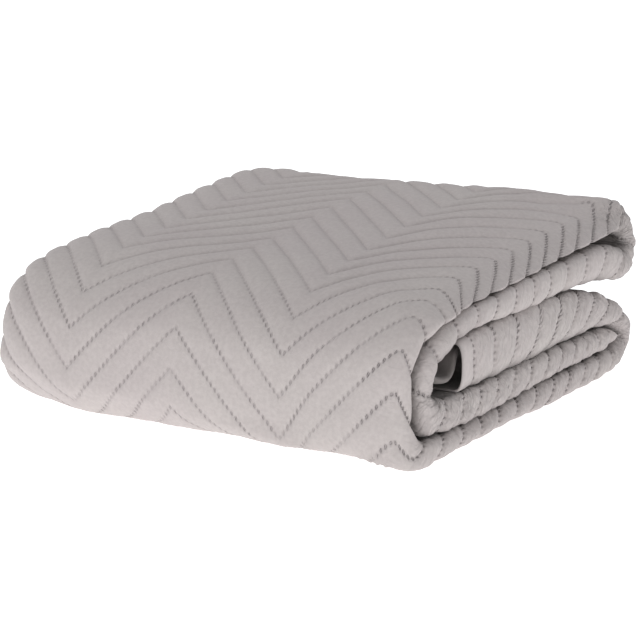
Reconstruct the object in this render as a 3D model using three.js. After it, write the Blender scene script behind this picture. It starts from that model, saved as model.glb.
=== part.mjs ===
// A quilted bedspread, folded flat. Millimetres, +Z up, origin at the middle of
// the face it rests on. +X is the end where the folds show, -Y is the front.
//
// The spread is first folded lengthways to a long band of several plies, and the
// band is then folded over and over in the YZ section: the inner flap runs back,
// turns down and runs forward along the bottom, comes up round the front, runs
// back over the top, turns under itself, runs forward, down inside the front and
// back again above the bottom. The flap's front is an open hollow, and the inner
// edge of the cloth lies curled in it. It is one piece of cloth, so it is one solid.
import * as THREE from 'three';

// ---- driving dimensions ----------------------------------------------------
const LENGTH_X = 486;         // along the folds, from rounded end to rounded end
const DEPTH_Y = 508;          // front fold to back fold
const FLAT_SNAP = 1.0;        // cloth nearer the ground than this lies on it
const STATION_STEP = 24;      // spacing of sections on the straight runs
const TURN_STEP = 7;          // spacing of sections on the tight turns
const TIP_ROUND = 20;         // length over which the last run's end rounds off
const TIP_THICK = 2.4;        // thickness left there
const CLOTH_COLOUR = 0xb5aeac;
const CLOTH_ROUGHNESS = 0.92;

// ---- the fold path ---------------------------------------------------------
// One row for each stretch or turn of the folded band, from the front of the
// inner flap to the end of the last run. y, z: middle of the band in the section,
// from the front face and the ground. half: half its thickness. right, left: how
// far its rounded +X and -X ends stay back from half of LENGTH_X. soft: length
// over which the outer side rounds off at the +X end. lean: 0 rounds both sides of
// that end alike, 1 rounds the outer side only, like an edge that droops. power:
// 2 is an ellipse, less is a longer drape to a crisper rim, more is squarer.
// round: length over which the -X end rounds off.
const COLUMNS = ['y', 'z', 'half', 'right', 'left', 'soft', 'lean', 'power', 'round'];
const named = (row) => Object.fromEntries(COLUMNS.map((name, i) => [name, row[i]]));
const FOLD_PATH = [
  // inner flap, front to back
  [93, 81.2, 24.6, 3, 6, 10, 0, 2.6, 16],
  [110, 82.0, 25.5, 2, 4, 12, 0, 2.4, 14],
  [150, 82.6, 26.5, 1, 2, 14, 0, 2.3, 14],
  [200, 82.7, 26.5, 1, 2, 15, 0, 2.2, 14],
  [260, 83.2, 26.2, 0, 2, 16, 0, 2.2, 15],
  [310, 83.0, 25.8, 0, 2, 16, 0, 2.2, 15],
  [360, 80.4, 23.6, 1, 3, 17, 0, 2.2, 16],
  [410, 75.4, 19.4, 2, 4, 18, 0, 2.3, 18],
  [445, 67.0, 15.0, 3, 4, 19, 0.1, 2.2, 20],
  // turn down at the bottom of the back
  [470, 58.5, 13.0, 3, 5, 18, 0.2, 2.2, 22],
  [485, 45.0, 12.6, 3, 6, 18, 0.2, 2.2, 22],
  [483, 29.0, 12.6, 3, 6, 18, 0.2, 2.2, 22],
  [465, 16.8, 12.7, 3, 6, 16, 0.1, 2.2, 20],
  // bottom, back to front
  [430, 13.2, 13.1, 2, 5, 14, 0, 2.3, 18],
  [380, 13.4, 13.3, 1, 4, 10, 0, 2.4, 18],
  [300, 13.6, 13.5, 1, 3, 10, 0, 2.4, 18],
  [200, 12.3, 12.2, 1, 3, 22, 0, 2.0, 18],
  [110, 11.5, 11.4, 1, 2, 20, 0, 2.0, 20],
  [62, 11.5, 11.4, 2, 2, 13, 0, 2.2, 26],
  // round the front
  [36, 11.8, 11.7, 3, 2, 10, 0.1, 2.3, 30],
  [16.2, 16.6, 11.4, 8, 1, 12, 0.2, 2.2, 36],
  [9.6, 34.0, 9.5, 16, 1, 14, 0.2, 2.0, 46],
  [9.2, 54.0, 9.2, 19, 2, 14, 0.2, 2.0, 50],
  [12.3, 78.7, 9.2, 20, 3, 14, 0.2, 2.0, 50],
  [18.6, 98.6, 9.2, 20, 3, 15, 0.2, 2.0, 50],
  [31.2, 114.0, 9.4, 19, 0, 18, 0.2, 2.0, 50],
  [52.1, 127.6, 9.8, 15, -1, 30, 0.35, 1.8, 50],
  [78.9, 137.6, 10.4, 11, -3, 72, 0.75, 1.5, 50],
  // top, front to back
  [110, 145.2, 10.1, 10, -4, 104, 0.9, 1.4, 50],
  [150, 149.0, 12.2, 9, -4, 112, 0.9, 1.4, 50],
  [200, 152.7, 13.7, 9, -4, 118, 0.9, 1.4, 50],
  [260, 156.9, 15.3, 9, -4, 120, 0.9, 1.4, 50],
  [320, 161.2, 16.2, 9, -4, 120, 0.9, 1.4, 50],
  [380, 164.4, 16.8, 9, -3, 120, 0.85, 1.4, 50],
  [430, 166.0, 17.0, 9, -2, 126, 0.85, 1.3, 50],
  // turn under at the top of the back
  [458, 166.4, 16.2, 10, 0, 90, 0.75, 1.4, 48],
  [481, 159.6, 16.0, 13, 2, 18, 0.45, 2.0, 36],
  [493, 144.0, 16.0, 8, 4, 14, 0.1, 2.2, 28],
  [492, 126.5, 14.6, 3, 4, 14, 0, 2.3, 24],
  [477, 115.6, 15.0, 2, 4, 14, 0, 2.3, 20],
  [457, 117.6, 17.6, 2, 4, 13, 0, 2.3, 18],
  // under the top, back to front
  [430, 122.8, 18.6, 2, 4, 14, 0.1, 2.2, 17],
  [400, 125.2, 17.6, 2, 4, 14, 0.2, 2.2, 16],
  [350, 126.2, 16.0, 2, 4, 13, 0.2, 2.2, 14],
  [300, 126.2, 15.5, 3, 4, 12, 0.1, 2.2, 13],
  [240, 124.7, 14.4, 3, 4, 10, 0, 2.3, 12],
  [180, 123.3, 12.6, 3, 4, 10, 0, 2.3, 11],
  [130, 122.6, 11.6, 4, 5, 10, 0, 2.3, 11],
  [98, 119.9, 10.4, 5, 6, 10, 0, 2.3, 11],
  // down inside the front
  [74, 112.8, 9.8, 6, 8, 10, 0, 2.3, 12],
  [52.5, 102.0, 9.8, 8, 10, 9, 0.1, 2.2, 13],
  [36.5, 87.2, 9.6, 9, 12, 9, -0.1, 2.2, 13],
  [31.4, 68.0, 10.3, 9, 12, 10, -0.2, 2.2, 13],
  [37.5, 48.5, 15.4, 6, 12, 12, 0, 2.3, 13],
  [56, 41.2, 16.0, 4, 10, 11, 0, 2.3, 13],
  // last run, front to back
  [80, 40.0, 15.9, 3, 8, 10, 0, 2.3, 12],
  [130, 39.4, 15.3, 2, 6, 10, 0, 2.3, 12],
  [200, 40.4, 15.1, 2, 5, 10, 0, 2.3, 12],
  [280, 42.2, 13.9, 2, 5, 11, 0, 2.3, 13],
  [350, 42.0, 13.2, 2, 5, 12, 0, 2.3, 14],
  [410, 40.6, 12.2, 3, 6, 14, 0, 2.3, 15],
  [461, 39.0, 9.6, 6, 8, 14, 0, 2.3, 18],
].map(named);

// The inner edge of the cloth, curled in the hollow at the front of the flap, the
// hollow's back and its walls, out to the flap's front rim. Same values.
const INNER_EDGE = [
  // the curled edge, from its rim into the flap
  [49.0, 83.6, 1.2, 18, 18, 4, 0, 2.0, 4],
  [49.8, 81.0, 2.2, 17, 17, 4, 0, 2.0, 5],
  [52.0, 78.0, 2.9, 16, 16, 4, 0, 2.0, 5],
  [56.0, 75.2, 3.2, 15, 15, 4, 0, 2.0, 5],
  [62.0, 73.0, 3.3, 14, 14, 4, 0, 2.0, 5],
  [69.0, 71.8, 3.3, 13, 13, 4, 0, 2.0, 5],
  [76.0, 72.0, 3.3, 12, 13, 4, 0, 2.0, 5],
  [82.0, 74.2, 3.3, 12, 13, 4, 0, 2.0, 5],
  [86.4, 78.4, 3.3, 12, 13, 4, 0, 2.0, 5],
  [88.8, 84.0, 3.3, 12, 13, 4, 0, 2.0, 5],
  [91.0, 89.4, 3.3, 12, 13, 4, 0, 2.0, 5],
  [95.0, 93.8, 3.3, 12, 13, 4, 0, 2.0, 5],
  [100.6, 95.8, 3.3, 13, 14, 4, 0, 2.0, 5],
  [107.0, 95.0, 3.3, 14, 15, 4, 0, 2.0, 5],
  [113.5, 92.0, 3.6, 15, 16, 4, 0, 2.0, 5],
  [119.0, 88.6, 4.4, 15, 16, 5, 0, 2.0, 5],
  // the hollow's back and its walls, out to the flap's front rim
  [122.6, 86.4, 6.5, 14, 15, 6, 0, 2.0, 6],
  [124.0, 85.6, 10.0, 12, 14, 7, 0, 2.0, 7],
  [123.5, 85.0, 14.0, 11, 13, 8, 0, 2.0, 8],
  [120.5, 84.4, 17.2, 9, 12, 8, 0, 2.0, 8],
  [113.5, 83.8, 19.4, 8, 12, 8, 0, 2.2, 9],
  [105.0, 83.2, 20.8, 7, 11, 8, 0, 2.3, 10],
  [97.0, 82.6, 21.2, 6, 10, 8, 0, 2.4, 11],
  [91.0, 82.3, 21.8, 5.5, 9, 8, 0, 2.5, 12],
  [87.4, 82.1, 22.3, 5, 8.6, 8, 0, 2.5, 13],
  [86.2, 81.4, 22.3, 4.4, 8, 8, 0, 2.6, 14],
  [87.0, 81.2, 23.4, 3.8, 7, 8, 0, 2.6, 15],
  [89.4, 81.0, 24.2, 3.2, 6.4, 9, 0, 2.6, 16],
].map(named);
const RIM_FROM = 16;          // from this ring on the rings only widen and stay upright

// Where the outside is fuller, sunk or slack: middle and reach of each bulge, how
// far it moves the cloth forward and up, and the table rows it holds for.
const BULGE_COLUMNS = ['x', 'y', 'z', 'reachX', 'reachY', 'reachZ', 'forward', 'up', 'rowFrom', 'rowTo'];
const BULGES = [
  [190, 0, 10, 110, 60, 50, 4, 0, 14, 24],   // fuller at the open end of the front
  [224, 6, 0, 70, 40, 26, 6, -7, 17, 23],   // with a square corner on the floor
  [-243, 0, 0, 115, 76, 60, -16, 13, 0, 61],   // rounder at the other end of the front
  [-110, 0, 4, 150, 44, 34, -12, 3, 0, 61],
  [75, 2, 2, 90, 40, 30, 6, -1, 14, 24],
  [15, 2, 0, 80, 40, 26, -2, 3.5, 0, 61],
  [205, 458, 176, 80, 46, 50, 0, -4, 0, 61],   // a dip before the back fold at the open end
  [205, 500, 160, 110, 36, 60, 0, 7, 30, 38],
  [-243, 60, 120, 60, 70, 50, 0, 3, 0, 61],
  [-243, 85, 140, 60, 80, 60, 0, -1, 0, 61],
  [-243, 250, 165, 90, 180, 60, 0, -5, 0, 61],
  [-200, 470, 175, 130, 90, 60, 0, 3, 0, 61],
  [-140, 60, 176, 150, 160, 60, 0, 3, 0, 61],   // fuller at the other end
  [-31, 170, 170, 90, 200, 60, 0, -3, 0, 61],
  [90, 340, 180, 120, 170, 60, 0, 4, 0, 61],
  [130, 470, 180, 260, 110, 60, 0, 4, 0, 61],
  [0, 24, 24, 900, 24, 24, 2, -3, 51, 55],   // the last turn fills the corner
].map((row) => Object.fromEntries(BULGE_COLUMNS.map((name, i) => [name, row[i]])));

// ---- sections along the path -----------------------------------------------
const smooth = THREE.MathUtils.smoothstep;
const centreLine = new THREE.CatmullRomCurve3(
  FOLD_PATH.map((p) => new THREE.Vector3(0, p.y, p.z)), false, 'centripetal');

// A station's values between two rows of the table, at t from 0 to 1.
function stationAt(t) {
  const span = t * (FOLD_PATH.length - 1);
  const i = Math.min(Math.floor(span), FOLD_PATH.length - 2);
  const w = smooth(span - i, 0, 1);
  const station = { row: span };
  for (const name of COLUMNS) {
    station[name] = THREE.MathUtils.lerp(FOLD_PATH[i][name], FOLD_PATH[i + 1][name], w);
  }
  const point = centreLine.getPoint(t);
  const tangent = centreLine.getTangent(t);
  station.y = point.y;
  station.z = point.z;
  station.ny = -tangent.z;      // the band's outer side, to the left of its run
  station.nz = tangent.y;
  return station;
}

// The rings of the curled inner edge and of the hollow round it.
function innerStations() {
  return INNER_EDGE.map((ring, i) => {
    const a = INNER_EDGE[Math.max(i - 1, 0)];
    const b = INNER_EDGE[Math.min(i + 1, INNER_EDGE.length - 1)];
    const upright = i >= RIM_FROM;
    const dy = upright ? 1 : b.y - a.y;
    const dz = upright ? 0 : b.z - a.z;
    const size = Math.hypot(dy, dz);
    return { ...ring, row: 0, ny: -dz / size, nz: dy / size };
  });
}

// Stations by the distance run, closer together where the path turns.
function stationsAlongPath() {
  const FINE = 3000;
  const samples = [];
  let run = 0;
  let before = null;
  for (let k = 0; k <= FINE; k++) {
    const s = stationAt(k / FINE);
    if (before) run += Math.hypot(s.y - before.y, s.z - before.z);
    s.run = run;
    samples.push(s);
    before = s;
  }
  const total = run;
  const stations = [];
  let last = null;
  for (const s of samples) {
    const left = total - s.run;
    if (last) {
      const turned = Math.abs(Math.atan2(
        last.ny * s.nz - last.nz * s.ny, last.ny * s.ny + last.nz * s.nz));
      const step = left < TIP_ROUND ? TIP_ROUND / 4 : STATION_STEP;
      const far = s.run - last.run >= step;
      const bent = turned > 0.2 && s.run - last.run >= TURN_STEP;
      if (!far && !bent && left > 0) continue;
      if (left > 0 && left < TURN_STEP / 2) continue;
    }
    const tip = left / TIP_ROUND;
    const close = tip >= 1 ? 1 : Math.sqrt(1 - (1 - tip) ** 2);
    s.half = Math.max(s.half * close, TIP_THICK / 2);
    stations.push(s);
    last = s;
  }
  return stations;
}

// Share of the full thickness at a place along X, from the tip of an end inwards.
function endShape(inwards, reach, power) {
  const u = THREE.MathUtils.clamp(1 - inwards / reach, 0, 1);
  return Math.pow(Math.max(1 - Math.pow(u, power), 0), 1 / power);
}

// Reach, power and tip offset of one end of the section on its outer or inner side.
function endValues(s, end, side) {
  if (end > 0) {
    const turned = smooth(s.row, 46.5, 48.5) * (1 - smooth(s.row, 52.5, 54));
    return side > 0
      ? { reach: s.soft, power: s.power, tip: -s.lean * s.half }
      : { reach: Math.min(s.soft, 20) + 10 * turned, power: Math.max(s.power, 2), tip: -s.lean * s.half };
  }
  const tip = -0.3 * THREE.MathUtils.clamp((s.round - 24) / 26, 0, 1) * s.half;
  const power = 2.4 - 0.4 * smooth(s.round, 22, 30);
  return { reach: side > 0 ? s.round : THREE.MathUtils.clamp(s.round, 5, 24), power, tip };
}

// Places along X where the ring has points: shares of the rounded reach at each
// end, and shares of the straight middle.
const END_SHARES = [0, 0.05, 0.2, 0.45, 0.72, 1];
const MIDDLE_SHARES = [0.25, 0.5, 0.75];

function ringAt(s) {
  const ring = [];
  const low = -LENGTH_X / 2 + s.left;
  const high = LENGTH_X / 2 - s.right;
  for (const side of [1, -1]) {
    const left = endValues(s, -1, side);
    const right = endValues(s, 1, side);
    const offsetAt = (end, inwards) =>
      end.tip + (side * s.half - end.tip) * endShape(inwards, end.reach, end.power);
    const row = [];
    for (const share of END_SHARES) {
      row.push({ x: low + share * left.reach, offset: offsetAt(left, share * left.reach) });
    }
    const from = low + left.reach;
    const to = high - right.reach;
    for (const share of MIDDLE_SHARES) row.push({ x: from + (to - from) * share, offset: side * s.half });
    for (const share of [...END_SHARES].reverse()) {
      row.push({ x: high - share * right.reach, offset: offsetAt(right, share * right.reach) });
    }
    if (side < 0) row.reverse();
    ring.push(...(side > 0 ? row : row.slice(1, -1)));
  }
  return ring;
}

function bulged(row, x, y, z) {
  let dy = 0;
  let dz = 0;
  for (const b of BULGES) {
    const r = ((x - b.x) / b.reachX) ** 2 + ((y - b.y) / b.reachY) ** 2 + ((z - b.z) / b.reachZ) ** 2;
    if (r < 1) {
      const held = smooth(row, b.rowFrom - 1, b.rowFrom) * (1 - smooth(row, b.rowTo, b.rowTo + 1));
      const w = (1 - r) ** 2 * held;
      dy -= b.forward * w;
      dz += b.up * w;
    }
  }
  return [y + dy, z + dz];
}

// ---- one closed solid from the rings ----------------------------------------
function foldedCloth() {
  const stations = [...innerStations(), ...stationsAlongPath()];
  const positions = [];
  const index = [];
  let size = 0;
  for (const s of stations) {
    const ring = ringAt(s);
    size = ring.length;
    for (const { x, offset } of ring) {
      let [y, z] = bulged(s.row, x, s.y + s.ny * offset, s.z + s.nz * offset);
      if (z < FLAT_SNAP) z = 0;
      positions.push(x, y - DEPTH_Y / 2, z);
    }
  }
  for (let i = 0; i + 1 < stations.length; i++) {
    for (let j = 0; j < size; j++) {
      const a = i * size + j;
      const b = i * size + ((j + 1) % size);
      index.push(a, b, a + size, b, b + size, a + size);
    }
  }
  // the two ends of the cloth: the outer side is joined to the inner side
  const half = size / 2;
  for (const [row, turn] of [[0, 1], [stations.length - 1, -1]]) {
    const at = (j) => row * size + ((j + size) % size);
    for (let j = 0; j < half; j++) {
      const quad = [at(j), at(-j), at(j + 1), at(-j - 1)];
      const faces = [[quad[0], quad[1], quad[2]], [quad[1], quad[3], quad[2]]];
      for (const f of faces) {
        if (new Set(f).size < 3) continue;
        index.push(...(turn > 0 ? f : [f[0], f[2], f[1]]));
      }
    }
  }
  const geometry = new THREE.BufferGeometry();
  geometry.setAttribute('position', new THREE.Float32BufferAttribute(positions, 3));
  geometry.setIndex(index);
  geometry.computeBoundingBox();
  const middle = geometry.boundingBox.getCenter(new THREE.Vector3());
  geometry.translate(-middle.x, -middle.y, 0);
  geometry.computeVertexNormals();
  return geometry;
}

const cloth = new THREE.MeshStandardMaterial({
  color: CLOTH_COLOUR, roughness: CLOTH_ROUGHNESS, metalness: 0,
});

const group = new THREE.Group();
const coverlet = new THREE.Mesh(foldedCloth(), cloth);
coverlet.name = 'coverlet';
group.add(coverlet);

export default group;
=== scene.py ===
import math

import bpy
import numpy as np
from mathutils import Matrix, Vector, noise


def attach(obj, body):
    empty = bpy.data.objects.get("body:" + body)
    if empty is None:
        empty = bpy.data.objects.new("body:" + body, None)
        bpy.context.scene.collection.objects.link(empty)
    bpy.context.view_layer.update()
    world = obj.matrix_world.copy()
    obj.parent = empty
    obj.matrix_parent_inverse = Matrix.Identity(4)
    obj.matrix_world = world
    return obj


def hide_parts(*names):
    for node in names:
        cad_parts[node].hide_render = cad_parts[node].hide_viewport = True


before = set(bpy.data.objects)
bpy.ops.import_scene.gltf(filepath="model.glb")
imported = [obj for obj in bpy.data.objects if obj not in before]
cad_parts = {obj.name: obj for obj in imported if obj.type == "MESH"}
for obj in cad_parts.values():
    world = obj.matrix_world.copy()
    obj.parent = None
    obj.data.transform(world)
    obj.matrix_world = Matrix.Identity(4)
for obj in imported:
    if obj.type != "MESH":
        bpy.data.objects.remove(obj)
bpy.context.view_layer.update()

MM = 0.001

# ---------------------------------------------------------------------------
# The folded band: the same fold path as the CAD solid, in millimetres.
# ---------------------------------------------------------------------------
LENGTH_X = 486.0
DEPTH_Y = 508.0
COLUMNS = ["y", "z", "half", "right", "left", "soft", "lean", "power", "round"]
FOLD_PATH = np.array([
    # inner flap, front to back
    [93, 81.2, 24.6, 3, 6, 10, 0, 2.6, 16],
    [110, 82.0, 25.5, 2, 4, 12, 0, 2.4, 14],
    [150, 82.6, 26.5, 1, 2, 14, 0, 2.3, 14],
    [200, 82.7, 26.5, 1, 2, 15, 0, 2.2, 14],
    [260, 83.2, 26.2, 0, 2, 16, 0, 2.2, 15],
    [310, 83.0, 25.8, 0, 2, 16, 0, 2.2, 15],
    [360, 80.4, 23.6, 1, 3, 17, 0, 2.2, 16],
    [410, 75.4, 19.4, 2, 4, 18, 0, 2.3, 18],
    [445, 67.0, 15.0, 3, 4, 19, 0.1, 2.2, 20],
    # turn down at the bottom of the back
    [470, 58.5, 13.0, 3, 5, 18, 0.2, 2.2, 22],
    [485, 45.0, 12.6, 3, 6, 18, 0.2, 2.2, 22],
    [483, 29.0, 12.6, 3, 6, 18, 0.2, 2.2, 22],
    [465, 16.8, 12.7, 3, 6, 16, 0.1, 2.2, 20],
    # bottom, back to front
    [430, 13.2, 13.1, 2, 5, 14, 0, 2.3, 18],
    [380, 13.4, 13.3, 1, 4, 10, 0, 2.4, 18],
    [300, 13.6, 13.5, 1, 3, 10, 0, 2.4, 18],
    [200, 12.3, 12.2, 1, 3, 22, 0, 2.0, 18],
    [110, 11.5, 11.4, 1, 2, 20, 0, 2.0, 20],
    [62, 11.5, 11.4, 2, 2, 13, 0, 2.2, 26],
    # round the front
    [36, 11.8, 11.7, 3, 2, 10, 0.1, 2.3, 30],
    [16.2, 16.6, 11.4, 8, 1, 12, 0.2, 2.2, 36],
    [9.6, 34.0, 9.5, 16, 1, 14, 0.2, 2.0, 46],
    [9.2, 54.0, 9.2, 19, 2, 14, 0.2, 2.0, 50],
    [12.3, 78.7, 9.2, 20, 3, 14, 0.2, 2.0, 50],
    [18.6, 98.6, 9.2, 20, 3, 15, 0.2, 2.0, 50],
    [31.2, 114.0, 9.4, 19, 0, 18, 0.2, 2.0, 50],
    [52.1, 127.6, 9.8, 15, -1, 30, 0.35, 1.8, 50],
    [78.9, 137.6, 10.4, 11, -3, 72, 0.75, 1.5, 50],
    # top, front to back
    [110, 145.2, 10.1, 10, -4, 104, 0.9, 1.4, 50],
    [150, 149.0, 12.2, 9, -4, 112, 0.9, 1.4, 50],
    [200, 152.7, 13.7, 9, -4, 118, 0.9, 1.4, 50],
    [260, 156.9, 15.3, 9, -4, 120, 0.9, 1.4, 50],
    [320, 161.2, 16.2, 9, -4, 120, 0.9, 1.4, 50],
    [380, 164.4, 16.8, 9, -3, 120, 0.85, 1.4, 50],
    [430, 166.0, 17.0, 9, -2, 126, 0.85, 1.3, 50],
    # turn under at the top of the back
    [458, 166.4, 16.2, 10, 0, 90, 0.75, 1.4, 48],
    [481, 159.6, 16.0, 13, 2, 18, 0.45, 2.0, 36],
    [493, 144.0, 16.0, 8, 4, 14, 0.1, 2.2, 28],
    [492, 126.5, 14.6, 3, 4, 14, 0, 2.3, 24],
    [477, 115.6, 15.0, 2, 4, 14, 0, 2.3, 20],
    [457, 117.6, 17.6, 2, 4, 13, 0, 2.3, 18],
    # under the top, back to front
    [430, 122.8, 18.6, 2, 4, 14, 0.1, 2.2, 17],
    [400, 125.2, 17.6, 2, 4, 14, 0.2, 2.2, 16],
    [350, 126.2, 16.0, 2, 4, 13, 0.2, 2.2, 14],
    [300, 126.2, 15.5, 3, 4, 12, 0.1, 2.2, 13],
    [240, 124.7, 14.4, 3, 4, 10, 0, 2.3, 12],
    [180, 123.3, 12.6, 3, 4, 10, 0, 2.3, 11],
    [130, 122.6, 11.6, 4, 5, 10, 0, 2.3, 11],
    [98, 119.9, 10.4, 5, 6, 10, 0, 2.3, 11],
    # down inside the front
    [74, 112.8, 9.8, 6, 8, 10, 0, 2.3, 12],
    [52.5, 102.0, 9.8, 8, 10, 9, 0.1, 2.2, 13],
    [36.5, 87.2, 9.6, 9, 12, 9, -0.1, 2.2, 13],
    [31.4, 68.0, 10.3, 9, 12, 10, -0.2, 2.2, 13],
    [37.5, 48.5, 15.4, 6, 12, 12, 0, 2.3, 13],
    [56, 41.2, 16.0, 4, 10, 11, 0, 2.3, 13],
    # last run, front to back
    [80, 40.0, 15.9, 3, 8, 10, 0, 2.3, 12],
    [130, 39.4, 15.3, 2, 6, 10, 0, 2.3, 12],
    [200, 40.4, 15.1, 2, 5, 10, 0, 2.3, 12],
    [280, 42.2, 13.9, 2, 5, 11, 0, 2.3, 13],
    [350, 42.0, 13.2, 2, 5, 12, 0, 2.3, 14],
    [410, 40.6, 12.2, 3, 6, 14, 0, 2.3, 15],
    [461, 39.0, 9.6, 6, 8, 14, 0, 2.3, 18],
], float)
# the inner edge of the cloth: it lies curled in the hollow at the front of the
# inner flap, and the flap's front closes round it. Same values, without a seam.
INNER_EDGE = np.array([
    # the curled edge, from its rim into the flap
    [49.0, 83.6, 1.2, 18, 18, 4, 0, 2.0, 4],
    [49.8, 81.0, 2.2, 17, 17, 4, 0, 2.0, 5],
    [52.0, 78.0, 2.9, 16, 16, 4, 0, 2.0, 5],
    [56.0, 75.2, 3.2, 15, 15, 4, 0, 2.0, 5],
    [62.0, 73.0, 3.3, 14, 14, 4, 0, 2.0, 5],
    [69.0, 71.8, 3.3, 13, 13, 4, 0, 2.0, 5],
    [76.0, 72.0, 3.3, 12, 13, 4, 0, 2.0, 5],
    [82.0, 74.2, 3.3, 12, 13, 4, 0, 2.0, 5],
    [86.4, 78.4, 3.3, 12, 13, 4, 0, 2.0, 5],
    [88.8, 84.0, 3.3, 12, 13, 4, 0, 2.0, 5],
    [91.0, 89.4, 3.3, 12, 13, 4, 0, 2.0, 5],
    [95.0, 93.8, 3.3, 12, 13, 4, 0, 2.0, 5],
    [100.6, 95.8, 3.3, 13, 14, 4, 0, 2.0, 5],
    [107.0, 95.0, 3.3, 14, 15, 4, 0, 2.0, 5],
    [113.5, 92.0, 3.6, 15, 16, 4, 0, 2.0, 5],
    [119.0, 88.6, 4.4, 15, 16, 5, 0, 2.0, 5],
    # the hollow's back and its walls, out to the flap's front rim
    [122.6, 86.4, 6.5, 14, 15, 6, 0, 2.0, 6],
    [124.0, 85.6, 10.0, 12, 14, 7, 0, 2.0, 7],
    [123.5, 85.0, 14.0, 11, 13, 8, 0, 2.0, 8],
    [120.5, 84.4, 17.2, 9, 12, 8, 0, 2.0, 8],
    [113.5, 83.8, 19.4, 8, 12, 8, 0, 2.2, 9],
    [105.0, 83.2, 20.8, 7, 11, 8, 0, 2.3, 10],
    [97.0, 82.6, 21.2, 6, 10, 8, 0, 2.4, 11],
    [91.0, 82.3, 21.8, 5.5, 9, 8, 0, 2.5, 12],
    [87.4, 82.1, 22.3, 5, 8.6, 8, 0, 2.5, 13],
    [86.2, 81.4, 22.3, 4.4, 8, 8, 0, 2.6, 14],
    [87.0, 81.2, 23.4, 3.8, 7, 8, 0, 2.6, 15],
    [89.4, 81.0, 24.2, 3.2, 6.4, 9, 0, 2.6, 16],
], float)
ROW_T_END, ROW_O_BOTTOM, ROW_O_FRONT, ROW_O_TOP, ROW_O_BACK, ROW_S_TOP, ROW_S_FRONT, ROW_S_LOW = 9, 13, 19, 28, 35, 41, 49, 55
BULGES = [  # x, y, z, reach x, y, z, forward, up, and the table rows it holds for
    (190, 0, 10, 110, 60, 50, 4, 0, 14, 24),        # fuller at the open end of the front
    (224, 6, 0, 70, 40, 26, 6, -7, 17, 23),         # with a square corner on the floor
    (-243, 0, 0, 115, 76, 60, -16, 13, 0, 61),     # rounder at the other end of the front
    (-110, 0, 4, 150, 44, 34, -12, 3, 0, 61),
    (75, 2, 2, 90, 40, 30, 6, -1, 14, 24),
    (15, 2, 0, 80, 40, 26, -2, 3.5, 0, 61),
    (205, 458, 176, 80, 46, 50, 0, -4, 0, 61),      # a dip before the back fold at the open end
    (205, 500, 160, 110, 36, 60, 0, 7, 30, 38),
    (-243, 60, 120, 60, 70, 50, 0, 3, 0, 61),
    (-243, 85, 140, 60, 80, 60, 0, -1, 0, 61),
    (-243, 250, 165, 90, 180, 60, 0, -5, 0, 61),
    (-200, 470, 175, 130, 90, 60, 0, 3, 0, 61),
    (-140, 60, 176, 150, 160, 60, 0, 3, 0, 61),     # fuller at the other end
    (-31, 170, 170, 90, 200, 60, 0, -3, 0, 61),
    (90, 340, 180, 120, 170, 60, 0, 4, 0, 61),
    (130, 470, 180, 260, 110, 60, 0, 4, 0, 61),
    (0, 24, 24, 900, 24, 24, 2, -3, 51, 55),        # the last turn fills the corner
    (238, 30, 30, 70, 26, 24, 3, -5, 51, 55),
]
SHIFT_X, SHIFT_Y = 2.0, 0.27   # puts the middle of the box on the origin, as in the CAD
TIP_ROUND = 20.0
TIP_THICK = 2.4

# the zigzag quilting
PITCH = 40.0              # seam to seam, along the fold path
RISE = 134.0              # how far a seam climbs from a valley to a peak
RIDGES_FRONT = (-151.5, -31.5, 90.5, 213.0)     # valley 1, peak 1, valley 2, peak 2 on the front
RIDGES_TOP = (-153.0, -31.5, 85.5, 198.0)       # and on the top
LEG = 118.0
STITCH = 6.7              # dot to dot along a seam

SEED = 41


def smoothstep(x, lo=0.0, hi=1.0):
    t = np.clip((np.asarray(x, float) - lo) / (hi - lo), 0, 1)
    return t * t * (3 - 2 * t)


def curve_point(t):
    """Centripetal Catmull-Rom through the table's points, as in the CAD source."""
    pts = FOLD_PATH[:, :2]
    n = len(pts)
    p = t * (n - 1)
    i = min(int(math.floor(p)), n - 2)
    w = p - i
    p1, p2 = pts[i], pts[i + 1]
    p0 = pts[i - 1] if i > 0 else 2 * p1 - p2
    p3 = pts[i + 2] if i + 2 < n else 2 * p2 - p1
    d0 = max(((p1 - p0) ** 2).sum() ** 0.25, 1e-6)
    d1 = max(((p2 - p1) ** 2).sum() ** 0.25, 1e-6)
    d2 = max(((p3 - p2) ** 2).sum() ** 0.25, 1e-6)
    t1 = ((p1 - p0) / d0 - (p2 - p0) / (d0 + d1) + (p2 - p1) / d1) * d1
    t2 = ((p2 - p1) / d1 - (p3 - p1) / (d1 + d2) + (p3 - p2) / d2) * d1
    c2 = -3 * p1 + 3 * p2 - 2 * t1 - t2
    c3 = 2 * p1 - 2 * p2 + t1 + t2
    return p1 + t1 * w + c2 * w * w + c3 * w ** 3


# fine samples of the centre line and of the values along it
FINE = 6000
ts = np.linspace(0, 1, FINE + 1)
centre = np.array([curve_point(t) for t in ts])
run = np.concatenate([[0], np.cumsum(np.hypot(*np.diff(centre, axis=0).T))])
step = run[-1] / FINE
even = np.linspace(0, run[-1], FINE + 1)
par = np.interp(even, run, ts * (len(FOLD_PATH) - 1))   # table row number at each even step
py = np.interp(even, run, centre[:, 0])
pz = np.interp(even, run, centre[:, 1])


def blur(a, mm):
    k = int(3 * mm / step) + 1
    g = np.exp(-0.5 * (np.arange(-k, k + 1) * step / mm) ** 2)
    g /= g.sum()
    padded = np.concatenate([2 * a[0] - a[k:0:-1], a, 2 * a[-1] - a[-2:-k - 2:-1]])
    return np.convolve(padded, g, mode="valid")


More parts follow.
